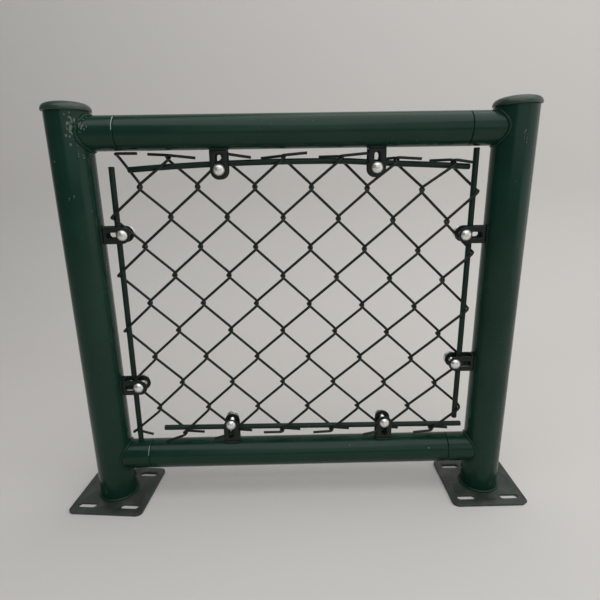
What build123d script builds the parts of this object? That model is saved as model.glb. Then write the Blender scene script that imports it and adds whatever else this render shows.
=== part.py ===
from build123d import *
import math
import os

# A free-standing bay of chain link fence: two round posts on slotted base plates,
# two round rails joined to welded stubs, and a woven mesh held by four loose round
# bars in eight bolted clips. X runs along the fence, Y through it, Z up, and the
# origin lies on the floor midway between the posts.

# Posts, caps and base plates
post_spacing = 630.0
post_diameter = 60.0
post_wall = 2.0
post_top = 619.0
cap_diameter = 66.0
cap_rim_height = 6.5
cap_dome_height = 7.0
cap_shoulder = 4.0
cap_plug_depth = 14.0
cap_plug_wall = 2.5
plate_length = 124.0
plate_depth = 120.0
plate_thickness = 4.0
plate_corner = 10.0
plate_slot_spacing_x = 72.0
plate_slot_spacing_y = 80.0
plate_slot_length = 30.0
plate_slot_width = 10.0

# Rails, and the stubs that carry them
rail_diameter = 48.0
rail_wall = 2.0
top_rail_drop = 29.0
bottom_rail_height = 75.0
top_stub_left_length = 38.0
top_stub_right_length = 37.0
bottom_stub_left_length = 36.0
bottom_stub_right_length = 34.0
spigot_reach = 30.0
spigot_wall = 2.0
seam_gap = 0.6
seam_rounding = 1.2

# Woven mesh: it fills the opening up to these gaps with diamonds near this size. It
# hangs a little askew: columns lean and rows droop by these amounts from one bend to
# the next, more so in the middle, and the rows are arched
wire_diameter = 4.0
wire_sides = 6
half_diamond_width = 41.3
half_diamond_height = 44.0
mesh_left_gap = 16.0
mesh_right_gap = 17.75
mesh_top_gap = 9.0
mesh_bottom_gap = 15.4
left_lean = -0.5
right_lean = 0.0
middle_lean = -1.0
top_droop = -0.55
bottom_droop = -0.1
middle_droop = -0.9
row_arch = 3.4
knuckle_rise = 2.6
end_knuckle_rise = 1.0
knuckle_radius = 5.0

# Cut ends of the wires, one for each wire from left to right: how far each is bent up
# at the top and down at the bottom, as a share of the gap to the rail
tail_length = 33.0
top_tail_lifts = (-0.2, 0, -0.5, 0, -0.6, -0.5, 0.3, -0.1, 0.45, -0.5, -0.15, -0.1, -0.6)
bottom_tail_drops = (0.6, 0.75, 0.2, 0.6, 0.2, 0, 0.2, 0.1, 0.2, 0.45, 0.2, 0.2, 0.2)

# Tension bars threaded along the edges of the mesh, with their gaps to the tubes
bar_diameter = 8.5
bar_end_chamfer = 0.6
left_bar_top_gap = 21.0
right_bar_top_gap = 2.0
right_bar_bottom_gap = 32.0
top_bar_left_gap = 46.0
top_bar_right_gap = 30.5
top_bar_slack = 1.75
top_bar_end_drop = 8.5
bottom_bar_left_gap = 60.0
bottom_bar_right_gap = 10.5
bottom_bar_slope = -0.008

# Clips: straps bent to a U, welded to the tubes, with a slot along each ear
clip_width = 25.0
clip_thickness = 2.0
clip_reach = 44.5
clip_bend = 3.5
clip_slot_start = 10.5
clip_slot_length = 28.5
clip_slot_width = 9.0

# Each clip's edge, its share of the way along or down that edge, and the half diamonds
# from the nearest bend of the mesh to its bolt
clip_places = {
    "clip_top_left": ("top", 0.31, -0.22),
    "clip_top_right": ("top", 0.77, -0.72),
    "clip_bottom_left": ("bottom", 0.31, -0.06),
    "clip_bottom_right": ("bottom", 0.77, 0.09),
    "clip_left_upper": ("left", 0.2, 0.56),
    "clip_left_lower": ("left", 0.8, 0.06),
    "clip_right_upper": ("right", 0.3, -0.59),
    "clip_right_lower": ("right", 0.7, 0.12),
}

# Bolts through the clips
bolt_diameter = 8.0
bolt_head_diameter = 16.5
bolt_head_height = 5.0
bolt_head_edge = 1.0
nut_across_flats = 13.0
nut_thickness = 6.5
bolt_protrusion = 2.0
washer_diameter = 17.5
washer_thickness = 1.6

# Clearances between pieces that fit together
weld_gap = 0.2
slide_gap = 0.2
wire_gap = 0.2
bar_gap = 0.15
bolt_play = 0.3
rest_gap = 0.3

# Sizes that follow from the ones above
post_radius = post_diameter / 2
rail_radius = rail_diameter / 2
bar_radius = bar_diameter / 2
wire_radius = wire_diameter / 2
post_x = post_spacing / 2
leg_offset = bar_radius + wire_radius + bar_gap
knuckle_offset = (wire_diameter + wire_gap) / 2
clip_inner = 2 * (leg_offset + wire_radius + bar_gap)
clip_outer = clip_inner + 2 * clip_thickness
top_rail_height = post_top - top_rail_drop
rail_face_top = top_rail_height - rail_radius
rail_face_bottom = bottom_rail_height + rail_radius
post_face = post_x - post_radius
mesh_left = -post_face + mesh_left_gap
mesh_right = post_face - mesh_right_gap
mesh_top = rail_face_top - mesh_top_gap
mesh_bottom = rail_face_bottom + mesh_bottom_gap
mesh_columns = round((mesh_right - mesh_left) / half_diamond_width)
mesh_rows = round((mesh_top - mesh_bottom) / half_diamond_height)
column_pitch = (mesh_right - mesh_left) / mesh_columns
row_pitch = (mesh_top - mesh_bottom) / mesh_rows
top_bar_left = -post_face + top_bar_left_gap
top_bar_right = post_face - top_bar_right_gap
knuckle_tilt = math.atan2(end_knuckle_rise, leg_offset)
bar_seat = (bar_radius + wire_radius + bar_gap) / math.cos(knuckle_tilt)


def export(shape, name):
    shape.label = name
    export_step(shape, f"parts/{name}.step")


def tube(outer_radius, wall, length):
    """A tube along Z from the origin."""
    ring = Circle(outer_radius) - Circle(outer_radius - wall)
    return extrude(ring, length)


def post(side):
    body = tube(post_radius, post_wall, post_top - plate_thickness)
    return Pos(side * post_x, 0, plate_thickness) * body


def base_plate(side):
    outline = RectangleRounded(plate_length, plate_depth, plate_corner)
    slots = GridLocations(plate_slot_spacing_x, plate_slot_spacing_y, 2, 2)
    outline -= slots * SlotOverall(plate_slot_length, plate_slot_width)
    return Pos(side * post_x, 0, 0) * extrude(outline, plate_thickness)


def dome_arc(radius, foot, apex):
    """A spherical crown from its edge to its top on the axis, in an outline to be revolved."""
    rise = apex - foot
    sphere_radius = (radius**2 + rise**2) / (2 * rise)
    return RadiusArc((radius, foot), (0, apex), -sphere_radius)


def post_cap(side):
    """A domed cap whose rim stands out past the tube and whose plug fits inside it."""
    rim_radius = cap_diameter / 2
    plug_radius = post_radius - post_wall - slide_gap
    hollow_radius = plug_radius - cap_plug_wall
    apex = cap_rim_height + cap_dome_height
    outline = Polyline(
        (0, apex),
        (0, cap_rim_height),
        (hollow_radius, cap_rim_height),
        (hollow_radius, -cap_plug_depth),
        (plug_radius, -cap_plug_depth),
        (plug_radius, 0),
        (rim_radius, 0),
        (rim_radius, cap_rim_height),
    )
    dome = dome_arc(rim_radius, cap_rim_height, apex)
    cap = revolve(Plane.XZ * make_face([outline, dome]), Axis.Z)
    shoulder = cap.edges().filter_by(GeomType.CIRCLE).filter_by(
        lambda edge: math.isclose(edge.radius, rim_radius)
    )
    cap = fillet(shoulder.sort_by(Axis.Z)[-1], cap_shoulder)
    return Pos(side * post_x, 0, post_top) * cap


def stub(side, height, length):
    """A short tube saddled on the post, with the spigot that the rail slides over."""
    face = post_face - length
    outer = tube(rail_radius, rail_wall, post_x - face)
    inside = rail_radius - rail_wall
    sleeve = tube(inside, spigot_wall, spigot_reach)
    tongue = tube(inside - slide_gap, spigot_wall, spigot_reach)
    mouth = outer.edges().filter_by(GeomType.CIRCLE).group_by(SortBy.RADIUS)[-1]
    outer = fillet(mouth.sort_by(Axis.Z)[0], seam_rounding)
    body = outer + sleeve + Pos(0, 0, -spigot_reach) * tongue
    body = Pos(face, 0, height) * (Rot(0, 90, 0) * body)
    saddle = Cylinder(post_radius + weld_gap, rail_diameter + 2 * weld_gap)
    body -= Pos(post_x, 0, height) * saddle
    if side < 0:
        body = mirror(body, Plane.YZ)
    return body.solids().sort_by(SortBy.VOLUME)[-1]


def rail(height, left_stub, right_stub):
    left = -post_face + left_stub + seam_gap
    right = post_face - right_stub - seam_gap
    body = tube(rail_radius, rail_wall, right - left)
    ends = body.edges().filter_by(GeomType.CIRCLE).group_by(SortBy.RADIUS)[-1]
    body = fillet(ends, seam_rounding)
    return Pos(left, 0, height) * (Rot(0, 90, 0) * body)


def swell(share):
    """0 at either edge of the mesh and 1 in its middle."""
    return 4 * share * (1 - share)


def node(column, row):
    """Place where two wires hook together, in the plane of the mesh."""
    across = column / mesh_columns
    down = row / mesh_rows
    lean = left_lean + (right_lean - left_lean) * across + middle_lean * swell(across)
    droop = top_droop + (bottom_droop - top_droop) * down + middle_droop * swell(down)
    x = mesh_left + column * column_pitch + lean * (row - mesh_rows / 2)
    z = mesh_top - row * row_pitch + droop * (column - mesh_columns / 2)
    return x, z - row_arch * (1 - swell(across))


def knuckle(wire, row):
    """The two corners of one bend of a wire, upper one first."""
    turns_left = (wire + row) % 2 == 0
    column = wire if turns_left else wire + 1
    x, z = node(column, row)
    x += -knuckle_offset if turns_left else knuckle_offset
    upper_y = -leg_offset if turns_left else leg_offset
    rise = end_knuckle_rise if row in (0, mesh_rows) else knuckle_rise
    return (x, upper_y, z + rise), (x, -upper_y, z - rise)


def tail_end(wire, row, corner):
    """The cut end of a wire, bent back over the wire's own side."""
    reach = tail_length if (wire + row) % 2 == 0 else -tail_length
    if row == 0:
        lift = top_tail_lifts[wire % len(top_tail_lifts)] * mesh_top_gap
    else:
        lift = -bottom_tail_drops[wire % len(bottom_tail_drops)] * mesh_bottom_gap
    return corner[0] + reach, corner[1], corner[2] + lift


def woven_wire(wire):
    """One flattened spiral: its rising legs pass in front and its falling legs behind."""
    bends = [knuckle(wire, row) for row in range(mesh_rows + 1)]
    points = [tail_end(wire, 0, bends[0][0])]
    for upper, lower in bends:
        points += [upper, lower]
    points.append(tail_end(wire, mesh_rows, bends[-1][1]))
    path = FilletPolyline(*points, radius=knuckle_radius)
    start = Plane(origin=path @ 0, z_dir=path % 0)
    section = start * RegularPolygon(wire_radius, wire_sides)
    return sweep(section, path=path)


def round_bar(path):
    start = Plane(origin=path @ 0, z_dir=path % 0)
    bar = sweep(start * Circle(bar_radius), path=path)
    return chamfer(bar.edges().filter_by(GeomType.CIRCLE), bar_end_chamfer)


def side_bar_x(side, z):
    """Axis of a side bar: just inside the outermost bends of the mesh."""
    column = 0 if side < 0 else mesh_columns
    high = node(column, 0)
    low = node(column, mesh_rows)
    share = (high[1] - z) / (high[1] - low[1])
    edge = high[0] + share * (low[0] - high[0])
    inset = bar_radius + wire_radius + bar_gap - knuckle_offset
    return edge - side * inset


def top_bar_z(x):
    """The top bar is bowed: it comes nearest to the bends at mid-length."""
    middle = (top_bar_left + top_bar_right) / 2
    half = (top_bar_right - top_bar_left) / 2
    sag = top_bar_end_drop * ((x - middle) / half) ** 2
    return mesh_top - bar_seat - top_bar_slack - sag


def bottom_bar_z(x):
    """The bottom bar is straight: it rests on the highest bends of the bottom row."""
    bends = [node(column, mesh_rows) for column in range(mesh_columns + 1)]
    return bar_seat + max(z + bottom_bar_slope * (x - bend_x) for bend_x, z in bends)


def tension_bar(edge):
    if edge == "left":
        heights = (rail_face_bottom + rest_gap, rail_face_top - left_bar_top_gap)
        ends = [(side_bar_x(-1, z), 0, z) for z in heights]
    elif edge == "right":
        heights = (rail_face_bottom + right_bar_bottom_gap, rail_face_top - right_bar_top_gap)
        ends = [(side_bar_x(1, z), 0, z) for z in heights]
    elif edge == "bottom":
        places = (-post_face + bottom_bar_left_gap, post_face - bottom_bar_right_gap)
        ends = [(x, 0, bottom_bar_z(x)) for x in places]
    else:
        middle = (top_bar_left + top_bar_right) / 2
        ends = [(x, 0, top_bar_z(x)) for x in (top_bar_left, middle, top_bar_right)]
        return round_bar(ThreePointArc(*ends))
    return round_bar(Line(*ends))


def clip_place(edge, share, offset):
    """Place along an edge, counted from the bend of the mesh nearest to a share of it."""
    line = {"top": 0, "bottom": mesh_rows, "left": 0, "right": mesh_columns}[edge]
    bends = mesh_columns if edge in ("top", "bottom") else mesh_rows
    bend = line % 2 + 2 * round((share * bends - line % 2) / 2)
    if edge in ("top", "bottom"):
        return node(bend + offset, line)[0]
    return node(line, bend + offset)[1]


def clip_frame(edge, place):
    """Frame on the tube: Z away from it into the mesh, Y to the rear, and the bar's depth."""
    if edge == "top":
        frame = Plane((place, 0, rail_face_top), x_dir=(-1, 0, 0), z_dir=(0, 0, -1))
        depth = rail_face_top - top_bar_z(place)
    elif edge == "bottom":
        frame = Plane((place, 0, rail_face_bottom), x_dir=(1, 0, 0), z_dir=(0, 0, 1))
        depth = bottom_bar_z(place) - rail_face_bottom
    elif edge == "left":
        frame = Plane((-post_face, 0, place), x_dir=(0, 0, -1), z_dir=(1, 0, 0))
        depth = side_bar_x(-1, place) + post_face
    else:
        frame = Plane((post_face, 0, place), x_dir=(0, 0, 1), z_dir=(-1, 0, 0))
        depth = post_face - side_bar_x(1, place)
    return frame, depth


def clip():
    """A strap bent to a U: its web lies on the tube and its ears straddle the mesh."""
    strap = Pos(0, 0, clip_reach / 2) * Box(clip_width, clip_outer, clip_reach)
    web_edges = strap.edges().filter_by(Axis.X).group_by(Axis.Z)[0]
    strap = fillet(web_edges, clip_bend)
    throat = Pos(0, 0, clip_thickness + clip_reach / 2)
    strap -= throat * Box(clip_width, clip_inner, clip_reach)
    straight = clip_reach - clip_width / 2
    outline = Pos(0, straight / 2) * Rectangle(clip_width, straight)
    outline += Pos(0, straight) * Circle(clip_width / 2)
    slot_center = clip_slot_start + clip_slot_length / 2
    outline -= Pos(0, slot_center) * Rot(0, 0, 90) * SlotOverall(clip_slot_length, clip_slot_width)
    ears = extrude(Plane.XZ * outline, clip_outer / 2, both=True)
    return strap & ears


def bolt(depth):
    """Domed bolt through both ears, just past the bar, with washer and nut at the rear."""
    head_radius = bolt_head_diameter / 2
    foot = Polyline((0, bolt_head_height), (0, 0), (head_radius, 0), (head_radius, bolt_head_edge))
    dome = dome_arc(head_radius, bolt_head_edge, bolt_head_height)
    head = revolve(Plane.XZ * make_face([foot, dome]), Axis.Z)
    nut_face = clip_outer + washer_thickness
    shank_length = nut_face + nut_thickness + bolt_protrusion
    shank = Pos(0, 0, -shank_length) * extrude(Circle(bolt_diameter / 2), shank_length)
    hexagon = RegularPolygon(nut_across_flats / 2, 6, major_radius=False)
    nut = Pos(0, 0, -nut_face - nut_thickness) * extrude(hexagon, nut_thickness)
    washer = Pos(0, 0, -nut_face) * extrude(Circle(washer_diameter / 2), washer_thickness)
    offset = depth + bar_radius + bolt_diameter / 2 + bolt_play
    return Pos(0, -clip_outer / 2, offset) * (Rot(90, 0, 0) * (head + shank + washer + nut))


def main():
    os.makedirs("parts", exist_ok=True)
    for side, word in ((-1, "left"), (1, "right")):
        export(base_plate(side), f"base_plate_{word}")
        export(post(side), f"post_{word}")
        export(post_cap(side), f"post_cap_{word}")
    export(stub(-1, top_rail_height, top_stub_left_length), "top_stub_left")
    export(stub(1, top_rail_height, top_stub_right_length), "top_stub_right")
    export(stub(-1, bottom_rail_height, bottom_stub_left_length), "bottom_stub_left")
    export(stub(1, bottom_rail_height, bottom_stub_right_length), "bottom_stub_right")
    export(rail(top_rail_height, top_stub_left_length, top_stub_right_length), "top_rail")
    export(rail(bottom_rail_height, bottom_stub_left_length, bottom_stub_right_length), "bottom_rail")
    for edge in ("left", "right", "top", "bottom"):
        export(tension_bar(edge), f"tension_bar_{edge}")
    for name, (edge, share, offset) in clip_places.items():
        frame, depth = clip_frame(edge, clip_place(edge, share, offset))
        export(frame.location * clip(), name)
        export(frame.location * bolt(depth), name.replace("clip", "bolt"))
    export(Compound([woven_wire(wire) for wire in range(mesh_columns)]), "mesh_panel")


main()
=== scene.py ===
"""The looks of a free-standing chain link fence bay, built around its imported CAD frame."""

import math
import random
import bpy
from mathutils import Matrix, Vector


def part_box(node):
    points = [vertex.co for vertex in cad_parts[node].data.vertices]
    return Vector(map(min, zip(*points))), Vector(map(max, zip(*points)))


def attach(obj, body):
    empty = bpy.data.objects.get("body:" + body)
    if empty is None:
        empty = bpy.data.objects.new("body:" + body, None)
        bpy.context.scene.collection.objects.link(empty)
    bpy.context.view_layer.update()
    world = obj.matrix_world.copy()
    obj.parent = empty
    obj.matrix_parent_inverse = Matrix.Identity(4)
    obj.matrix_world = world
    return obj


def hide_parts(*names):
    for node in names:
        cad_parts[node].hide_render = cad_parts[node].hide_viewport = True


bl_info = {
    "name": "Chain link fence bay",
    "version": (1, 0, 0),
    "blender": (4, 5, 0),
    "location": "View3D > Sidebar > Fence bay",
    "description": "Woven mesh, welds, bolts, clips and finishes of a chain link fence bay",
    "category": "Object",
}

import bmesh
import bpy
from bpy.props import FloatProperty, FloatVectorProperty, IntProperty, PointerProperty
from bpy.types import Operator, Panel, PropertyGroup
from mathutils import Matrix, Vector

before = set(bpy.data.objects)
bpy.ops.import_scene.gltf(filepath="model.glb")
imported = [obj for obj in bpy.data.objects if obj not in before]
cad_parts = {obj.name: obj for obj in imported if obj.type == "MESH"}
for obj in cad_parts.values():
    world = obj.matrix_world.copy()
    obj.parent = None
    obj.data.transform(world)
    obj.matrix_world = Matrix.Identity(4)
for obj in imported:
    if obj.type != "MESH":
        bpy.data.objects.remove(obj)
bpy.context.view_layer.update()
MM = 0.001

POSTS = ("post_left", "post_right")
STUBS = ("top_stub_left", "top_stub_right", "bottom_stub_left", "bottom_stub_right")
RAILS = ("top_rail", "bottom_rail")
CLIPS = tuple(sorted(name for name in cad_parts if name.startswith("clip_")))
BARS = tuple(sorted(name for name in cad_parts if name.startswith("tension_bar_")))
BOLTS = tuple(sorted(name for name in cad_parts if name.startswith("bolt_")))
OUTWARD = {"top": (0, 0, -1), "bottom": (0, 0, 1), "left": (1, 0, 0), "right": (-1, 0, 0)}

# Distances under which points are joined, and angles in radians that count as flat or sharp
MERGE_DISTANCE = 0.005 * MM
FLAT_ANGLE = 0.002
SHARP_ANGLE = math.radians(50.0)

# How askew the mesh hangs: lean of the columns and droop of the rows, in millimetres from
# one bend to the next
LEFT_LEAN, RIGHT_LEAN, MIDDLE_LEAN = -0.5, 0.0, -1.0
TOP_DROOP, BOTTOM_DROOP, MIDDLE_DROOP = -0.55, -0.1, -0.9
HOOK_GAP = 0.2 * MM

# Cut ends of the wires from left to right, in millimetres
TOP_TAIL_REACHES = (32, 33, 42, 22, 42, 35, 36, 34, 40, 28, 37, 35, 28)
TOP_TAIL_LIFTS = (-0.3, 1.8, -4.7, 0, -6.6, -3.3, 2.9, -0.5, 3.3, -2.8, -2.5, -1, -4.3)
BOTTOM_TAIL_REACHES = (29, 33, 33, 33, 33, 33, 33, 33, 33, 33, 33, 33, 33)
BOTTOM_TAIL_DROPS = (9.24, 11.55, 3.08, 9.24, 3.08, 0, 3.08, 1.54, 3.08, 6.93, 3.08, 3.08, 3.08)

# Shifts of the top bends, one for each pair of wires that hook there: across, up, and the
# sag of the lower corner, in millimetres
TOP_BEND_SHIFTS = (
    (15, 4.5, 0), (2, 1, 4), (-3, 2.4, 4), (0, -1.2, 0), (1, -2, 0), (0, -3, 3), (3, -4.5, 4.5),
)
FIRST_BOTTOM_BEND_SHIFT = Vector((-2.8, 0, 5.5))

# The top bar's right end: where the bend starts and ends, and how far it comes down
TOP_BAR_BEND_START = 85 * MM
TOP_BAR_BEND_END = 135 * MM
TOP_BAR_DROP = 2.3 * MM

# Caps: tilt in degrees, and outline as (radius, height) in millimetres
CAP_TILTS = {"left": 0.4, "right": -2.6}
CAP_OUTLINE = (
    (0, 13.6), (6, 13.5), (13, 12.9), (20, 11.9), (26, 10.4), (29.5, 8.6), (31.6, 6.4),
    (32.7, 4.0), (33, 2.2), (33, 0.7), (32.4, 0.1), (31.4, 0), (28.4, 0),
    (27.6, -0.5), (27.6, -13), (26.8, -14), (25.6, -14), (25.2, -13), (25.2, 4), (0, 4),
)

# Bolts: outlines as (radius, height) from the front ear's face, sizes of thread and nut
HEAD_OUTLINE = (
    (0, 5.0), (1.6, 4.95), (3.4, 4.65), (5.1, 4.0), (6.6, 3.0), (7.6, 1.9), (8.15, 0.95),
    (8.25, 0.5), (8.05, 0.12), (7.7, 0.0), (4.0, 0.0), (4.0, -2.4),
)
FLANGE_OUTLINE = (
    (4.3, -5.4), (7.4, -5.4), (10.2, -6.4), (10.8, -6.8), (10.8, -8.0), (10.4, -8.4),
    (4.3, -8.4), (4.3, -5.4),
)
THREAD_START = -2.4 * MM
THREAD_PITCH = 1.25 * MM
THREAD_ROOT_STEP = 0.62 * MM
THREAD_CREST = 4.0 * MM
THREAD_ROOT = 3.45 * MM
THREAD_TIP = 3.3 * MM
BOLT_PROTRUSION = 10.0 * MM
NUT_RADIUS = 7.5 * MM
NUT_HEIGHT = 5.8 * MM
NUT_EDGE = 0.7 * MM

# Clips: depths, counted from the tube, past which the slot's start and the ears' tips move,
# and how far they move toward the tube
SLOT_START_DEPTH = 8 * MM
EAR_TIP_DEPTH = 22 * MM
SLOT_START_SHIFT = 5.0 * MM
EAR_TIP_SHIFT = 3.3 * MM
CLIP_EDGE = 0.5 * MM

# Base plates: limits that pick out the slots' points, and how far the slots' sides move
PLATE_MARGIN = 8 * MM
SLOT_HALF_SPAN = 54 * MM
SLOT_MIDDLE = 40 * MM
SLOT_GROWTH = 1.6 * MM
PLATE_EDGE = 0.7 * MM
LEFT_PLATE_TURN = -0.085
RIGHT_CORNER_CUT = Vector((-4, 4, 0)) * MM
RIGHT_CORNER_FACING = (0.5, -0.8, 0)

# Weld beads: spacing of their points, length of a ripple, radii
BEAD_STEP = 1.4 * MM
RIPPLE_LENGTH = 3.2 * MM
STUB_WELD_RADIUS = 2.0 * MM
ROUGH_WELD_RADIUS = 2.4 * MM
FOOT_WELD_RADIUS = 2.4 * MM
CLIP_WELD_RADIUS = 1.9 * MM
STUB_WELD_SINK = 0.6 * MM
FOOT_WELD_SINK = 0.7 * MM
CLIP_WELD_SINK = 0.8 * MM

# Flecks of bare metal and spatter: node, degrees from the tube's front, millimetres along
# it, spread, count and size
FLECKS = (
    ("post_left", 14, 505, 3, 3, 0.8),
    ("post_left", 1, 502, 2, 2, 0.9),
    ("post_left", 55, 486, 3, 2, 0.8),
    ("post_left", 81, 403, 6, 6, 1.0),
    ("post_left", 40, 567, 9, 7, 0.7),
    ("post_right", 1, 578, 9, 12, 0.6),
    ("post_right", 9, 574, 7, 9, 0.6),
    ("bottom_rail", 45, 84, 2, 2, 1.3),
)
POST_DROPS = 48
STUB_DROPS = 64

# Bare edges at the seams: first and last degree of each arc
SEAM_CHIPS = {"top_rail": (6, 62), "bottom_rail": (22, 62)}
CHIP_RADIUS = 0.6 * MM
CHIP_OFFSET = 1.6 * MM
CHIP_POINTS = 25

# The camera: pixels of the square photograph, its focal length and middle in pixels, and
# the camera's place in metres and turns in radians
PHOTO_SIZE = 600
FOCAL_LENGTH = 450.05
PHOTO_MIDDLE = (298.96, 298.47)
SENSOR_WIDTH = 36.0
CAMERA_PLACE = (-0.0042751, -0.6767142, 0.5313704)
CAMERA_YAW, CAMERA_PITCH, CAMERA_ROLL = -0.0122, -0.2702, -0.0154


def middle(node):
    """The middle of a CAD node's box."""
    low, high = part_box(node)
    return (low + high) / 2


# Sizes and colours


class FenceMeshSizes(PropertyGroup):
    wire: FloatProperty(
        name="Wire", description="Diameter of a coated wire", default=4.2 * MM, unit="LENGTH"
    )
    columns: IntProperty(name="Wires", description="Wires side by side", default=13)
    rows: IntProperty(name="Rows", description="Half diamonds from top to bottom", default=10)
    left: FloatProperty(
        name="Left", description="Left edge of the mesh", default=-269.0 * MM, unit="LENGTH"
    )
    right: FloatProperty(
        name="Right", description="Right edge of the mesh", default=267.25 * MM, unit="LENGTH"
    )
    top: FloatProperty(
        name="Top", description="Height of the top bends", default=557.0 * MM, unit="LENGTH"
    )
    bottom: FloatProperty(
        name="Bottom", description="Height of the bottom bends", default=114.4 * MM, unit="LENGTH"
    )
    edge_leg: FloatProperty(
        name="Edge leg offset", description="Legs' distance from the mesh plane at the bars",
        default=6.4 * MM, unit="LENGTH",
    )
    leg: FloatProperty(
        name="Leg offset", description="Legs' distance from the mesh plane inside the mesh",
        default=4.9 * MM, unit="LENGTH",
    )
    arch: FloatProperty(
        name="Arch", description="Rise of each row at mid-length", default=3.4 * MM, unit="LENGTH"
    )
    rise: FloatProperty(
        name="Bend rise", description="Half of a bend's height", default=1.8 * MM, unit="LENGTH"
    )
    edge_rise: FloatProperty(
        name="Edge bend rise", description="The same along the bars",
        default=1.0 * MM, unit="LENGTH",
    )
    rounding: FloatProperty(
        name="Rounding", description="Length of leg that turns into a bend",
        default=13.0 * MM, unit="LENGTH",
    )


class FenceFinish(PropertyGroup):
    paint: FloatVectorProperty(
        name="Paint", description="Powder coat on the tubes", subtype="COLOR",
        default=(0.007, 0.037, 0.024),
    )
    paint_shade: FloatVectorProperty(
        name="Paint shade", description="Darker patches of the powder coat", subtype="COLOR",
        default=(0.005, 0.028, 0.018),
    )
    scuff: FloatVectorProperty(
        name="Scuff", description="Rubbed and chipped paint", subtype="COLOR",
        default=(0.30, 0.33, 0.30),
    )
    plate: FloatVectorProperty(
        name="Plate paint", description="Dull paint on the base plates", subtype="COLOR",
        default=(0.034, 0.046, 0.036),
    )
    wire: FloatVectorProperty(
        name="Wire coat", description="Plastic coat of the wires", subtype="COLOR",
        default=(0.004, 0.009, 0.006),
    )
    cap: FloatVectorProperty(
        name="Cap", description="Plastic of the post caps", subtype="COLOR",
        default=(0.032, 0.052, 0.042),
    )
    clip: FloatVectorProperty(
        name="Clip paint", description="Paint on clips and bars", subtype="COLOR",
        default=(0.006, 0.015, 0.011),
    )
    zinc: FloatVectorProperty(
        name="Zinc", description="Plating of the bolts", subtype="COLOR",
        default=(0.95, 0.95, 0.91),
    )


# Materials


def start_material(name):
    """A new material with its node tree, shader and Object coordinates."""
    material = bpy.data.materials.new(name)
    material.use_nodes = True
    tree = material.node_tree
    shader = tree.nodes["Principled BSDF"]
    place = tree.nodes.new("ShaderNodeTexCoord").outputs["Object"]
    return material, tree, shader, place


def stretched(tree, place, scale):
    mapping = tree.nodes.new("ShaderNodeMapping")
    mapping.inputs["Scale"].default_value = scale
    tree.links.new(place, mapping.inputs["Vector"])
    return mapping.outputs["Vector"]


def cloud(tree, place, scale, detail=4.0, roughness=0.55):
    """Soft noise between 0 and 1."""
    texture = tree.nodes.new("ShaderNodeTexNoise")
    texture.inputs["Scale"].default_value = scale
    texture.inputs["Detail"].default_value = detail
    texture.inputs["Roughness"].default_value = roughness
    tree.links.new(place, texture.inputs["Vector"])
    return texture.outputs["Fac"]


def band(tree, value, low, high, start=0.0, end=1.0):
    """Maps the values from low to high to those from start to end."""
    ramp = tree.nodes.new("ShaderNodeMapRange")
    ramp.inputs["From Min"].default_value = low
    ramp.inputs["From Max"].default_value = high
    ramp.inputs["To Min"].default_value = start
    ramp.inputs["To Max"].default_value = end
    tree.links.new(value, ramp.inputs["Value"])
    return ramp.outputs["Result"]


def combine(tree, operation, first, second):
    node = tree.nodes.new("ShaderNodeMath")
    node.operation = operation
    for socket, value in zip(node.inputs, (first, second)):
        if isinstance(value, (int, float)):
            socket.default_value = value
        else:
            tree.links.new(value, socket)
    return node.outputs["Value"]


def blend_colors(tree, factor, first, second):
    mix = tree.nodes.new("ShaderNodeMix")
    mix.data_type = "RGBA"
    tree.links.new(factor, mix.inputs["Factor"])
    for socket, value in ((mix.inputs["A"], first), (mix.inputs["B"], second)):
        if isinstance(value, bpy.types.NodeSocket):
            tree.links.new(value, socket)
        else:
            socket.default_value = (*value, 1.0)
    return mix.outputs["Result"]


def specks(tree, place, scale, size, share):
    """Small scattered spots: cells of a Voronoi pattern, of which only a share shows."""
    cells = tree.nodes.new("ShaderNodeTexVoronoi")
    cells.inputs["Scale"].default_value = scale
    tree.links.new(place, cells.inputs["Vector"])
    split = tree.nodes.new("ShaderNodeSeparateColor")
    tree.links.new(cells.outputs["Color"], split.inputs["Color"])
    spot = band(tree, cells.outputs["Distance"], size, size * 0.6)
    chosen = combine(tree, "GREATER_THAN", split.outputs["Red"], 1.0 - share)
    return combine(tree, "MULTIPLY", spot, chosen)


def bump(tree, shader, height, strength, distance):
    node = tree.nodes.new("ShaderNodeBump")
    node.inputs["Strength"].default_value = strength
    node.inputs["Distance"].default_value = distance
    tree.links.new(height, node.inputs["Height"])
    tree.links.new(node.outputs["Normal"], shader.inputs["Normal"])


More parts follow.
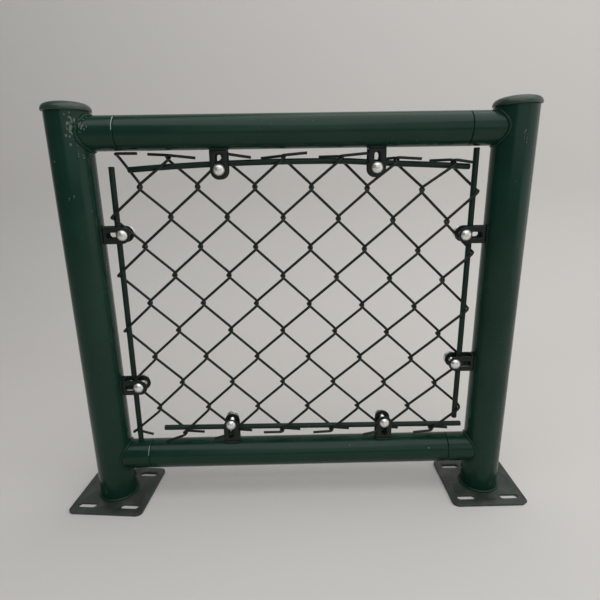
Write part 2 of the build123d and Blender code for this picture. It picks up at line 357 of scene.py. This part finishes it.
def powder_coat(name, color, shade, scuff, stretch, gloss=0.20, wear=0.5, shine=0.24):
    """Glossy powder coat with an uneven film, dust, fine scratches along it and chips."""
    material, tree, shader, place = start_material(name)
    drift = band(tree, cloud(tree, place, 9.0), 0.35, 0.68)
    base = blend_colors(tree, drift, color, shade)
    along = stretched(tree, place, stretch)
    scratches = band(tree, cloud(tree, along, 60.0, 6.0, 0.7), 0.66, 0.80)
    patches = band(tree, cloud(tree, place, 14.0, 3.0), 0.56, 0.70)
    rubbed = combine(tree, "MULTIPLY", scratches, patches)
    rubbed = combine(tree, "MULTIPLY", rubbed, wear)
    base = blend_colors(tree, rubbed, base, scuff)
    nicks = specks(tree, place, 55.0, 0.065, 0.10)
    dust = specks(tree, place, 190.0, 0.12, 0.05)
    marks = combine(tree, "MAXIMUM", nicks, combine(tree, "MULTIPLY", dust, 0.45))
    marks = combine(tree, "MULTIPLY", marks, 0.75)
    base = blend_colors(tree, marks, base, scuff)
    tree.links.new(base, shader.inputs["Base Color"])
    film = band(tree, cloud(tree, place, 24.0, 5.0), 0.3, 0.75, gloss - 0.04, gloss + 0.10)
    rough = combine(tree, "ADD", film, combine(tree, "MULTIPLY", rubbed, 0.35))
    tree.links.new(rough, shader.inputs["Roughness"])
    shader.inputs["Specular IOR Level"].default_value = shine
    peel = cloud(tree, place, 420.0, 2.0)
    height = combine(tree, "SUBTRACT", peel, combine(tree, "MULTIPLY", nicks, 1.5))
    bump(tree, shader, height, 0.12, 0.2 * MM)
    return material


def dull_paint(name, color, scuff):
    """Flat, dusty paint with pale rubbed patches."""
    material, tree, shader, place = start_material(name)
    drift = band(tree, cloud(tree, place, 22.0, 5.0), 0.35, 0.7)
    base = blend_colors(tree, drift, color, tuple(0.6 * part for part in color))
    dust = band(tree, cloud(tree, place, 48.0, 6.0, 0.7), 0.52, 0.85, 0.0, 0.22)
    base = blend_colors(tree, dust, base, scuff)
    grit = combine(tree, "MULTIPLY", specks(tree, place, 160.0, 0.14, 0.10), 0.4)
    base = blend_colors(tree, grit, base, scuff)
    tree.links.new(base, shader.inputs["Base Color"])
    rough = band(tree, cloud(tree, place, 35.0), 0.3, 0.7, 0.42, 0.62)
    tree.links.new(rough, shader.inputs["Roughness"])
    bump(tree, shader, cloud(tree, place, 260.0, 3.0), 0.25, 0.2 * MM)
    return material


def wire_coat(name, color):
    """Satin plastic coat drawn over the wire, with paler dusty patches."""
    material, tree, shader, place = start_material(name)
    drift = band(tree, cloud(tree, place, 30.0, 4.0), 0.35, 0.7)
    base = blend_colors(tree, drift, color, tuple(1.9 * part for part in color))
    tree.links.new(base, shader.inputs["Base Color"])
    rough = band(tree, cloud(tree, place, 90.0), 0.3, 0.7, 0.34, 0.48)
    tree.links.new(rough, shader.inputs["Roughness"])
    shader.inputs["Specular IOR Level"].default_value = 0.35
    bump(tree, shader, cloud(tree, place, 700.0, 2.0), 0.12, 0.1 * MM)
    return material


def zinc_plate(name, color):
    """Bright zinc plating with a fine grain and dull spots."""
    material, tree, shader, place = start_material(name)
    drift = band(tree, cloud(tree, place, 260.0, 4.0), 0.35, 0.7)
    base = blend_colors(tree, drift, color, tuple(0.72 * part for part in color))
    tree.links.new(base, shader.inputs["Base Color"])
    shader.inputs["Metallic"].default_value = 0.8
    rough = band(tree, cloud(tree, place, 420.0, 3.0), 0.3, 0.7, 0.20, 0.38)
    tree.links.new(rough, shader.inputs["Roughness"])
    bump(tree, shader, cloud(tree, place, 900.0, 3.0), 0.10, 0.1 * MM)
    return material


def plain_stage(name, color):
    material = bpy.data.materials.new(name)
    material.use_nodes = True
    shader = material.node_tree.nodes["Principled BSDF"]
    shader.inputs["Base Color"].default_value = (*color, 1.0)
    shader.inputs["Roughness"].default_value = 0.9
    return material


def material_named(name):
    """The finish of that name, made the first time that a piece asks for it."""
    known = bpy.data.materials.get(name)
    if known:
        return known
    finish = bpy.context.scene.fence_finish
    paint, shade, scuff = tuple(finish.paint), tuple(finish.paint_shade), tuple(finish.scuff)
    clip = tuple(finish.clip)
    if name == "post_coat":
        return powder_coat(name, paint, shade, scuff, (14.0, 14.0, 1.0))
    if name == "rail_coat":
        return powder_coat(name, paint, shade, scuff, (1.0, 14.0, 14.0))
    if name == "cap_coat":
        return powder_coat(name, tuple(finish.cap), paint, scuff, (6.0, 6.0, 6.0), 0.32, 0.6, 0.5)
    if name == "bar_coat":
        return powder_coat(name, clip, shade, scuff, (6.0, 6.0, 6.0), 0.38, 0.3)
    if name == "clip_coat":
        worn = tuple(0.6 * part for part in clip)
        return powder_coat(name, clip, worn, scuff, (8.0, 8.0, 8.0), 0.40, 0.7, 0.3)
    if name == "plate_paint":
        return dull_paint(name, tuple(finish.plate), scuff)
    if name == "wire_coat":
        return wire_coat(name, tuple(finish.wire))
    if name == "weld_coat":
        return powder_coat(name, paint, shade, scuff, (9.0, 9.0, 9.0), 0.26, 0.5)
    if name == "spatter":
        return dull_paint(name, (0.13, 0.16, 0.14), (0.48, 0.52, 0.49))
    if name == "bare_edge":
        return dull_paint(name, (0.42, 0.46, 0.43), (0.62, 0.64, 0.62))
    if name == "bolt_zinc":
        return zinc_plate(name, tuple(finish.zinc))
    raise RuntimeError(f"no finish is named {name}")


# Making pieces


def add_piece(name, mesh, material, sharp_angle=40.0):
    """Links a mesh as a piece of the fence, with its finish."""
    mesh.name = name
    mesh.materials.clear()
    mesh.materials.append(material_named(material))
    mesh.shade_smooth()
    mesh.set_sharp_from_angle(angle=math.radians(sharp_angle))
    piece = bpy.data.objects.new(name, mesh)
    bpy.context.scene.collection.objects.link(piece)
    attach(piece, "root")
    return piece


def finish_piece(name, shape, material, sharp_angle=40.0):
    mesh = bpy.data.meshes.new(name)
    shape.to_mesh(mesh)
    shape.free()
    return add_piece(name, mesh, material, sharp_angle)


def welded_copy(node):
    """A bmesh of a CAD node with its loose triangles joined."""
    shape = bmesh.new()
    shape.from_mesh(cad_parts[node].data)
    bmesh.ops.remove_doubles(shape, verts=shape.verts, dist=MERGE_DISTANCE)
    flat = [
        edge for edge in shape.edges
        if edge.is_manifold and edge.calc_face_angle(1.0) < FLAT_ANGLE
    ]
    bmesh.ops.dissolve_edges(shape, edges=flat, use_verts=False)
    return shape


def soften(shape, radius):
    """Rounds the sharp edges of a shape."""
    sharp = [
        edge for edge in shape.edges
        if edge.is_manifold and edge.calc_face_angle(0.0) > SHARP_ANGLE
    ]
    bmesh.ops.bevel(
        shape, geom=sharp, offset=radius, offset_type="OFFSET", segments=2,
        profile=0.5, affect="EDGES", material=-1, clamp_overlap=True,
    )


def swell(share):
    """0 at both ends and 1 in the middle."""
    return 4 * share * (1 - share)


def mesh_node(sizes, column, row):
    """Place where two wires hook together in the slightly askew mesh."""
    across, down = column / sizes.columns, row / sizes.rows
    lean = LEFT_LEAN + (RIGHT_LEAN - LEFT_LEAN) * across + MIDDLE_LEAN * swell(across)
    droop = TOP_DROOP + (BOTTOM_DROOP - TOP_DROOP) * down + MIDDLE_DROOP * swell(down)
    x = sizes.left + across * (sizes.right - sizes.left) + lean * MM * (row - sizes.rows / 2)
    z = sizes.top + down * (sizes.bottom - sizes.top) + droop * MM * (column - sizes.columns / 2)
    return x, z - sizes.arch * (1 - swell(across))


def wire_corners(sizes, wire):
    """Corners of one flattened spiral: rising legs in front, falling legs behind."""
    hook = (sizes.wire + HOOK_GAP) / 2
    corners = []
    for row in range(sizes.rows + 1):
        turns_left = (wire + row) % 2 == 0
        column = wire if turns_left else wire + 1
        x, z = mesh_node(sizes, column, row)
        x += -hook if turns_left else hook
        at_edge = row in (0, sizes.rows) or column in (0, sizes.columns)
        front = sizes.edge_leg if at_edge else sizes.leg
        if turns_left:
            front = -front
        rise = sizes.edge_rise if at_edge else sizes.rise
        corners.append(Vector((x, front, z + rise)))
        corners.append(Vector((x, -front, z - rise)))
    across, up, sag = TOP_BEND_SHIFTS[(wire + 1) // 2 % len(TOP_BEND_SHIFTS)]
    corners[0] += Vector((across, 0, up)) * MM
    corners[1] += Vector((across, 0, up - sag)) * MM
    if wire == 0:
        for corner in corners[-2:]:
            corner += FIRST_BOTTOM_BEND_SHIFT * MM
    top_way = 1 if wire % 2 == 0 else -1
    end_way = 1 if (wire + sizes.rows) % 2 == 0 else -1
    pick = wire % len(TOP_TAIL_REACHES)
    top_tail = Vector((top_way * TOP_TAIL_REACHES[pick], 0, TOP_TAIL_LIFTS[pick])) * MM
    end_tail = Vector((end_way * BOTTOM_TAIL_REACHES[pick], 0, -BOTTOM_TAIL_DROPS[pick])) * MM
    corners.insert(0, corners[0] + top_tail)
    corners.append(corners[-1] + end_tail)
    return corners


class FENCE_OT_woven_mesh(Operator):
    """Weave the mesh from flattened spirals of round coated wire"""

    bl_idname = "fence.woven_mesh"
    bl_label = "Woven mesh"

    def execute(self, context):
        sizes = context.scene.fence_mesh
        weave = bpy.data.curves.new("weave", "CURVE")
        weave.dimensions = "3D"
        weave.bevel_depth = sizes.wire / 2
        weave.bevel_resolution = 3
        weave.use_fill_caps = True
        for wire in range(sizes.columns):
            corners = wire_corners(sizes, wire)
            points = [corners[0]]
            for index in range(1, len(corners) - 1, 2):
                before, upper, lower, after = corners[index - 1:index + 3]
                points.append(upper.lerp(before, sizes.rounding / (before - upper).length))
                points += [upper, lower]
                points.append(lower.lerp(after, sizes.rounding / (after - lower).length))
            points.append(corners[-1])
            spline = weave.splines.new("NURBS")
            spline.points.add(len(points) - 1)
            for target, point in zip(spline.points, points):
                target.co = (*point, 1.0)
            spline.order_u = 3
            spline.use_endpoint_u = True
            spline.resolution_u = 4
        carrier = bpy.data.objects.new("weave", weave)
        context.scene.collection.objects.link(carrier)
        context.view_layer.update()
        mesh = bpy.data.meshes.new_from_object(carrier)
        bpy.data.objects.remove(carrier)
        panel = add_piece("woven_wires", mesh, "wire_coat", 60.0)
        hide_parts("mesh_panel")
        return {"FINISHED"}


def spun(shape, profile, steps=32):
    """Turns an outline of (radius, height) pairs round the Z axis into a closed skin."""
    verts = [shape.verts.new((radius, 0, height)) for radius, height in profile]
    edges = [shape.edges.new(pair) for pair in zip(verts, verts[1:])]
    bmesh.ops.spin(
        shape, geom=verts + edges, cent=(0, 0, 0), axis=(0, 0, 1), angle=2 * math.pi,
        steps=steps, use_merge=True,
    )
    bmesh.ops.remove_doubles(shape, verts=shape.verts, dist=MERGE_DISTANCE)


def in_mm(pairs):
    """An outline that is given in millimetres, in metres."""
    return [(radius * MM, height * MM) for radius, height in pairs]


def bead(name, lines, material, radius, seed, ripple, lumps):
    """Weld beads along lines of points: round strings whose thickness ripples and wanders."""
    draw = random.Random(seed)
    string = bpy.data.curves.new(name, "CURVE")
    string.dimensions = "3D"
    string.bevel_depth = radius
    string.bevel_resolution = 2
    string.use_fill_caps = True
    for points, closed in lines:
        spline = string.splines.new("POLY")
        spline.points.add(len(points) - 1)
        spline.use_cyclic_u = closed
        phase = draw.uniform(0, 6.28)
        for index, (target, point) in enumerate(zip(spline.points, points)):
            push = Vector(draw.uniform(-1, 1) for _ in range(3)) * lumps * radius
            target.co = (*(point + push), 1.0)
            wave = math.sin(phase + index * BEAD_STEP / RIPPLE_LENGTH * 6.28)
            target.radius = 1 + ripple * wave + draw.uniform(-1, 1) * (0.03 + lumps)
            if not closed and index in (0, len(points) - 1):
                target.radius *= 0.55
    carrier = bpy.data.objects.new(name, string)
    bpy.context.scene.collection.objects.link(carrier)
    bpy.context.view_layer.update()
    mesh = bpy.data.meshes.new_from_object(carrier)
    bpy.data.objects.remove(carrier)
    return add_piece(name, mesh, material, 80.0)


def saddle_line(stub):
    """Points round the corner between a stub and its post."""
    low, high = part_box(stub)
    radius = (high.z - low.z) / 2 + STUB_WELD_SINK
    height = (high.z + low.z) / 2
    side = 1 if low.x > 0 else -1
    post_low, post_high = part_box("post_right" if side > 0 else "post_left")
    post_x = (post_low.x + post_high.x) / 2
    post_radius = (post_high.x - post_low.x) / 2 + STUB_WELD_SINK
    count = round(2 * math.pi * radius / BEAD_STEP)
    points = []
    for index in range(count):
        turn = 2 * math.pi * index / count
        y, z = radius * math.sin(turn), height + radius * math.cos(turn)
        points.append(Vector((post_x - side * math.sqrt(post_radius**2 - y**2), y, z)))
    return points


def foot_line(post):
    """Points round the foot of a post."""
    low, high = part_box(post)
    radius = (high.x - low.x) / 2 + FOOT_WELD_SINK
    count = round(2 * math.pi * radius / BEAD_STEP)
    center = (low.x + high.x) / 2
    height = low.z + FOOT_WELD_SINK
    turns = (2 * math.pi * index / count for index in range(count))
    return [
        Vector((center + radius * math.cos(turn), radius * math.sin(turn), height))
        for turn in turns
    ]


def clip_seat(clip):
    """The middle of a clip's foot on its tube, and the way out from there."""
    low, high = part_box(clip)
    out = Vector(OUTWARD[clip.split("_")[1]])
    reach = abs(out.dot(high - low))
    return (low + high) / 2 - out * reach / 2, out


def clip_foot_lines(clip):
    """Points along the two seams between a clip's web and the tube that it stands on."""
    low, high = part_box(clip)
    size = high - low
    seat, out = clip_seat(clip)
    face = seat - out * CLIP_WELD_SINK
    along = Vector((abs(out.z), 0, abs(out.x)))
    half = along.dot(size) / 2
    count = round(2 * half / BEAD_STEP)
    lines = []
    for front in (-1, 1):
        depth = Vector((0, front * (size.y / 2 - CLIP_WELD_SINK), 0))
        lines.append([
            face + depth + along * (half * (2 * index / count - 1)) for index in range(count + 1)
        ])
    return lines


class FENCE_OT_caps(Operator):
    """Form the two post caps with their rolled rims and low domes"""

    bl_idname = "fence.caps"
    bl_label = "Post caps"

    def execute(self, context):
        for side, tilt in CAP_TILTS.items():
            low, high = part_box(f"post_cap_{side}")
            _, post_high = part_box(f"post_{side}")
            shape = bmesh.new()
            spun(shape, in_mm(CAP_OUTLINE), 64)
            center = Vector(((low.x + high.x) / 2, 0, post_high.z))
            turn = Matrix.Rotation(math.radians(tilt), 4, "Y")
            place = Matrix.Translation(center) @ turn
            bmesh.ops.transform(shape, matrix=place, verts=shape.verts)
            bmesh.ops.recalc_face_normals(shape, faces=shape.faces)
            piece = finish_piece(f"cap_{side}", shape, "cap_coat", 60.0)
            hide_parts(f"post_cap_{side}")
        return {"FINISHED"}


def thread_outline(end):
    """Outline of a bolt's thread, from under its head to its end."""
    thread = [(THREAD_CREST, THREAD_START)]
    depth = THREAD_START
    while depth - THREAD_PITCH > end:
        thread.append((THREAD_ROOT, depth - THREAD_ROOT_STEP))
        depth -= THREAD_PITCH
        thread.append((THREAD_CREST, depth))
    return thread + [(THREAD_TIP, end), (0, end)]


def add_nut(shape, reach, turn):
    """A hexagon nut with rounded ends against the rear ear."""
    made = bmesh.ops.create_cone(
        shape, cap_ends=True, segments=6, radius1=NUT_RADIUS, radius2=NUT_RADIUS,
        depth=NUT_HEIGHT,
        matrix=Matrix.Translation((0, 0, -reach - NUT_HEIGHT / 2)) @ Matrix.Rotation(turn, 4, "Z"),
    )
    hexagon = set(made["verts"])
    ends = [
        edge for edge in shape.edges
        if set(edge.verts) <= hexagon and abs(edge.verts[0].co.z - edge.verts[1].co.z) < MM
    ]
    bmesh.ops.bevel(
        shape, geom=ends, offset=NUT_EDGE, offset_type="OFFSET", segments=2,
        profile=0.5, affect="EDGES", material=-1,
    )


class FENCE_OT_bolts(Operator):
    """Turn the domed bolts, their threads, nuts and round flanges"""

    bl_idname = "fence.bolts"
    bl_label = "Bolts"

    def execute(self, context):
        draw = random.Random(11)
        for name in BOLTS:
            clip_low, clip_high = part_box(name.replace("bolt", "clip"))
            ear = (clip_high.y - clip_low.y) / 2
            reach = 2 * ear
            shape = bmesh.new()
            spun(shape, in_mm(HEAD_OUTLINE), 40)
            spun(shape, thread_outline(-(reach + BOLT_PROTRUSION)), 20)
            flange = in_mm(FLANGE_OUTLINE)
            spun(shape, [(radius, height - reach) for radius, height in flange], 32)
            add_nut(shape, reach, draw.uniform(0, 1))
            center = middle(name)
            place = Matrix.Translation((center.x, -ear, center.z))
            turn = Matrix.Rotation(math.pi / 2, 4, "X")
            bmesh.ops.transform(shape, matrix=place @ turn, verts=shape.verts)
            bmesh.ops.recalc_face_normals(shape, faces=shape.faces)
            piece = finish_piece(f"{name}_set", shape, "bolt_zinc", 35.0)
            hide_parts(name)
        return {"FINISHED"}


def shorten_ears(shape, clip):
    """Moves a clip's ear tips and the starts of its slots toward its tube."""
    seat, out = clip_seat(clip)
    for vert in shape.verts:
        depth = (vert.co - seat).dot(out)
        if depth > EAR_TIP_DEPTH:
            vert.co -= out * EAR_TIP_SHIFT
        elif depth > SLOT_START_DEPTH:
            vert.co -= out * SLOT_START_SHIFT


def widen_slots(shape, low, high):
    """Moves the long sides of a plate's four slots apart."""
    center = (low + high) / 2
    for vert in shape.verts:
        depth = vert.co.y - center.y
        in_rows = abs(depth) < high.y - center.y - PLATE_MARGIN
        if in_rows and abs(vert.co.x - center.x) < SLOT_HALF_SPAN:
            way = 1 if abs(depth) > SLOT_MIDDLE else -1
            vert.co.y += math.copysign(way * SLOT_GROWTH, depth)


def cut_corner(shape, corner):
    """Cuts a plate's corner off straight."""
    everything = shape.verts[:] + shape.edges[:] + shape.faces[:]
    bmesh.ops.bisect_plane(
        shape, geom=everything, plane_co=corner + RIGHT_CORNER_CUT,
        plane_no=RIGHT_CORNER_FACING, clear_outer=True,
    )
    rim = [edge for edge in shape.edges if edge.is_boundary]
    bmesh.ops.holes_fill(shape, edges=rim, sides=0)


class FENCE_OT_straps(Operator):
    """Shape the clips and the base plates and round their edges"""

    bl_idname = "fence.straps"
    bl_label = "Clips and plates"

    def execute(self, context):
        for name in CLIPS:
            shape = welded_copy(name)
            shorten_ears(shape, name)
            soften(shape, CLIP_EDGE)
            piece = finish_piece(f"{name}_strap", shape, "clip_coat")
            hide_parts(name)
        for side in ("left", "right"):
            shape = welded_copy(f"base_plate_{side}")
            low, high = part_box(f"base_plate_{side}")
            center = (low + high) / 2
            widen_slots(shape, low, high)
            if side == "right":
                cut_corner(shape, Vector((high.x, low.y, center.z)))
            soften(shape, PLATE_EDGE)
            if side == "left":
                turn = Matrix.Rotation(LEFT_PLATE_TURN, 4, "Z")
                bmesh.ops.transform(
                    shape, matrix=turn, space=Matrix.Translation(-center), verts=shape.verts
                )
            piece = finish_piece(f"foot_{side}", shape, "plate_paint")
            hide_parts(f"base_plate_{side}")
        return {"FINISHED"}


def tube_point(node, turn, along):
    """A point on a tube's skin: degrees from its front, and millimetres along it."""
    low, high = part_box(node)
    center = (low + high) / 2
    turn = math.radians(turn)
    if node in POSTS:
        radius = (high.x - low.x) / 2
        out = Vector((math.sin(turn), -math.cos(turn), 0))
        return Vector((center.x, center.y, along * MM)) + out * radius, out
    radius = (high.z - low.z) / 2
    out = Vector((0, -math.cos(turn), math.sin(turn)))
    return Vector((along * MM, center.y, center.z)) + out * radius, out


def fleck(shape, node, turn, along, size, draw):
    """A small flat chip or spatter drop on a tube."""
    spot, out = tube_point(node, turn, along)
    made = bmesh.ops.create_icosphere(
        shape, subdivisions=1, radius=size * MM, matrix=Matrix.Translation(spot)
    )
    flat = Matrix.Scale(draw.uniform(0.25, 0.45), 4, out)
    long = Matrix.Scale(draw.uniform(1.0, 1.7), 4, (0, 0, 1))
    bmesh.ops.transform(
        shape, matrix=long @ flat, space=Matrix.Translation(-spot), verts=made["verts"]
    )


class FENCE_OT_top_bar(Operator):
    """Bend the free right end of the top tension bar a little down"""

    bl_idname = "fence.top_bar"
    bl_label = "Top bar"

    def execute(self, context):
        shape = welded_copy("tension_bar_top")
        length = TOP_BAR_BEND_END - TOP_BAR_BEND_START
        for vert in shape.verts:
            share = min(max((vert.co.x - TOP_BAR_BEND_START) / length, 0), 1)
            vert.co.z -= TOP_BAR_DROP * share * share * (3 - 2 * share)
        piece = finish_piece("bar_top_bent", shape, "bar_coat")
        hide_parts("tension_bar_top")
        return {"FINISHED"}


def lay_beads():
    """The weld beads at the stubs, the posts' feet and the clips."""
    for seed, name in enumerate(STUBS):
        rough = name == "top_stub_left"
        radius = ROUGH_WELD_RADIUS if rough else STUB_WELD_RADIUS
        lumps = 0.20 if rough else 0.04
        bead(f"weld_{name}", [(saddle_line(name), True)], "weld_coat", radius, seed, 0.08, lumps)
    for seed, name in enumerate(POSTS):
        bead(
            f"weld_foot_{name}", [(foot_line(name), True)], "weld_coat",
            FOOT_WELD_RADIUS, 20 + seed, 0.08, 0.05,
        )
    for seed, name in enumerate(CLIPS):
        lines = [(line, False) for line in clip_foot_lines(name)]
        bead(f"weld_{name}", lines, "clip_coat", CLIP_WELD_RADIUS, 40 + seed, 0.12, 0.12)


def scatter_spatter():
    """Weld spatter at the top left joint, and the flecks on posts and rail."""
    draw = random.Random(5)
    shape = bmesh.new()
    for _ in range(POST_DROPS):
        height = min(596 + draw.gauss(0, 10), 615)
        fleck(shape, "post_left", 31 + draw.gauss(0, 6), height, draw.uniform(0.5, 1.6), draw)
    for _ in range(STUB_DROPS):
        along = -291 + draw.gauss(0, 4)
        turn = 34 + draw.gauss(0, 24)
        fleck(shape, "top_stub_left", turn, along, draw.uniform(0.5, 1.4), draw)
    for node, turn, along, spread, count, size in FLECKS:
        for _ in range(count):
            fleck(
                shape, node, turn + draw.uniform(-1, 1) * 0.25 * spread,
                along + draw.uniform(-1, 1) * spread, size * draw.uniform(0.6, 1.0), draw,
            )
    finish_piece("weld_spatter", shape, "spatter", 80.0)


def chip_seams():
    """Thin bare edges where the rails' left ends meet their stubs."""
    for name, (first, last) in SEAM_CHIPS.items():
        low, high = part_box(name)
        height, radius = (low.z + high.z) / 2, (high.z - low.z) / 2 - 0.2 * MM
        x = low.x - CHIP_OFFSET
        line = []
        for index in range(CHIP_POINTS):
            turn = math.radians(first + (last - first) * index / (CHIP_POINTS - 1))
            line.append(Vector((x, -radius * math.cos(turn), height + radius * math.sin(turn))))
        bead(f"chipped_{name}", [(line, False)], "bare_edge", CHIP_RADIUS, 60, 0.3, 0.2)


class FENCE_OT_welds(Operator):
    """Lay the weld beads with their spatter, and chip the seams"""

    bl_idname = "fence.welds"
    bl_label = "Welds"

    def execute(self, context):
        lay_beads()
        scatter_spatter()
        chip_seams()
        return {"FINISHED"}


class FENCE_OT_tubes(Operator):
    """Paint the posts, stubs, rails and tension bars"""

    bl_idname = "fence.tubes"
    bl_label = "Tube finish"

    def execute(self, context):
        finishes = {name: "post_coat" for name in POSTS}
        finishes.update({name: "rail_coat" for name in STUBS + RAILS})
        finishes.update({name: "bar_coat" for name in BARS if name != "tension_bar_top"})
        for name, finish in finishes.items():
            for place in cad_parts[name].material_slots:
                place.material = material_named(finish)
        return {"FINISHED"}


def add_floor(scene):
    """A pale floor that turns up into a backdrop."""
    shape = bmesh.new()
    bmesh.ops.create_grid(shape, x_segments=1, y_segments=1, size=4.0)
    far = [edge for edge in shape.edges if all(vert.co.y > 3.9 for vert in edge.verts)]
    bmesh.ops.translate(shape, verts=far[0].verts, vec=(0, -2.9, 0))
    wall = bmesh.ops.extrude_edge_only(shape, edges=far)
    lifted = [item for item in wall["geom"] if isinstance(item, bmesh.types.BMVert)]
    bmesh.ops.translate(shape, verts=lifted, vec=(0, 0, 5.0))
    corner = [
        edge for edge in shape.edges
        if all(vert.co.y > 0.9 and vert.co.z < 0.1 for vert in edge.verts)
    ]
    bmesh.ops.bevel(
        shape, geom=corner, offset=0.5, offset_type="OFFSET", segments=12,
        profile=0.5, affect="EDGES", material=-1,
    )
    mesh = bpy.data.meshes.new("floor")
    shape.to_mesh(mesh)
    shape.free()
    mesh.materials.append(plain_stage("pale_floor", (0.70, 0.68, 0.65)))
    mesh.shade_smooth()
    floor = bpy.data.objects.new("floor", mesh)
    scene.collection.objects.link(floor)


def add_studio(scene):
    """A dim, slightly blue world."""
    world = bpy.data.worlds.new("studio")
    scene.world = world
    world.use_nodes = True
    background = world.node_tree.nodes["Background"]
    background.inputs["Color"].default_value = (0.92, 0.96, 1.0, 1.0)
    background.inputs["Strength"].default_value = 0.12


def soft_light(scene, name, place, target, size, power):
    """A rectangular lamp that faces its target."""
    light = bpy.data.lights.new(name, "AREA")
    light.shape = "RECTANGLE"
    light.size, light.size_y = size
    light.energy = power
    lamp = bpy.data.objects.new(name, light)
    lamp.location = place
    aim = Vector(target) - Vector(place)
    lamp.rotation_euler = aim.to_track_quat("-Z", "Y").to_euler()
    scene.collection.objects.link(lamp)


def add_camera(scene):
    """The camera at the photograph's place and angle."""
    turn = (
        Matrix.Rotation(CAMERA_YAW, 3, "Z")
        @ Matrix.Rotation(math.pi / 2 + CAMERA_PITCH, 3, "X")
        @ Matrix.Rotation(CAMERA_ROLL, 3, "Z")
    )
    lens = bpy.data.cameras.new("camera")
    lens.sensor_width = SENSOR_WIDTH
    lens.lens = FOCAL_LENGTH / PHOTO_SIZE * SENSOR_WIDTH
    lens.shift_x = (PHOTO_SIZE / 2 - PHOTO_MIDDLE[0]) / PHOTO_SIZE
    lens.shift_y = (PHOTO_MIDDLE[1] - PHOTO_SIZE / 2) / PHOTO_SIZE
    lens.clip_start = 0.01
    camera = bpy.data.objects.new("camera", lens)
    camera.matrix_world = Matrix.Translation(CAMERA_PLACE) @ turn.to_4x4()
    scene.collection.objects.link(camera)
    scene.camera = camera


class FENCE_OT_stage(Operator):
    """Set the pale floor and backdrop, the soft lights and the camera"""

    bl_idname = "fence.stage"
    bl_label = "Stage"

    def execute(self, context):
        scene = context.scene
        add_floor(scene)
        add_studio(scene)
        soft_light(scene, "overhead", (0.5, -0.8, 2.6), (0.4, -0.7, 0), (4.0, 3.2), 62.0)
        soft_light(scene, "front", (0.9, -2.7, 1.5), (0.9, 0, 1.5), (3.2, 1.9), 13.0)
        soft_light(scene, "side", (2.6, -0.8, 1.2), (0, -0.8, 1.2), (3.6, 2.4), 20.0)
        add_camera(scene)
        scene.view_settings.view_transform = "Standard"
        return {"FINISHED"}


class FENCE_PT_panel(Panel):
    """Sizes, finishes and steps of the fence bay"""

    bl_idname = "FENCE_PT_panel"
    bl_label = "Fence bay"
    bl_space_type = "VIEW_3D"
    bl_region_type = "UI"
    bl_category = "Fence bay"

    def draw(self, context):
        for group in (context.scene.fence_mesh, context.scene.fence_finish):
            column = self.layout.column()
            for name in group.bl_rna.properties.keys():
                if name not in ("rna_type", "name"):
                    column.prop(group, name)
        for operator in OPERATORS:
            self.layout.operator(operator.bl_idname)


OPERATORS = (
    FENCE_OT_tubes, FENCE_OT_top_bar, FENCE_OT_caps, FENCE_OT_straps, FENCE_OT_bolts,
    FENCE_OT_welds, FENCE_OT_woven_mesh, FENCE_OT_stage,
)
CLASSES = (FenceMeshSizes, FenceFinish, *OPERATORS, FENCE_PT_panel)


def register():
    for item in CLASSES:
        bpy.utils.register_class(item)
    bpy.types.Scene.fence_mesh = PointerProperty(type=FenceMeshSizes)
    bpy.types.Scene.fence_finish = PointerProperty(type=FenceFinish)


def unregister():
    del bpy.types.Scene.fence_finish
    del bpy.types.Scene.fence_mesh
    for item in reversed(CLASSES):
        bpy.utils.unregister_class(item)


def main():
    register()
    bpy.ops.fence.tubes()
    bpy.ops.fence.top_bar()
    bpy.ops.fence.caps()
    bpy.ops.fence.straps()
    bpy.ops.fence.bolts()
    bpy.ops.fence.welds()
    bpy.ops.fence.woven_mesh()
    bpy.ops.fence.stage()


if __name__ == "__main__":
    main()
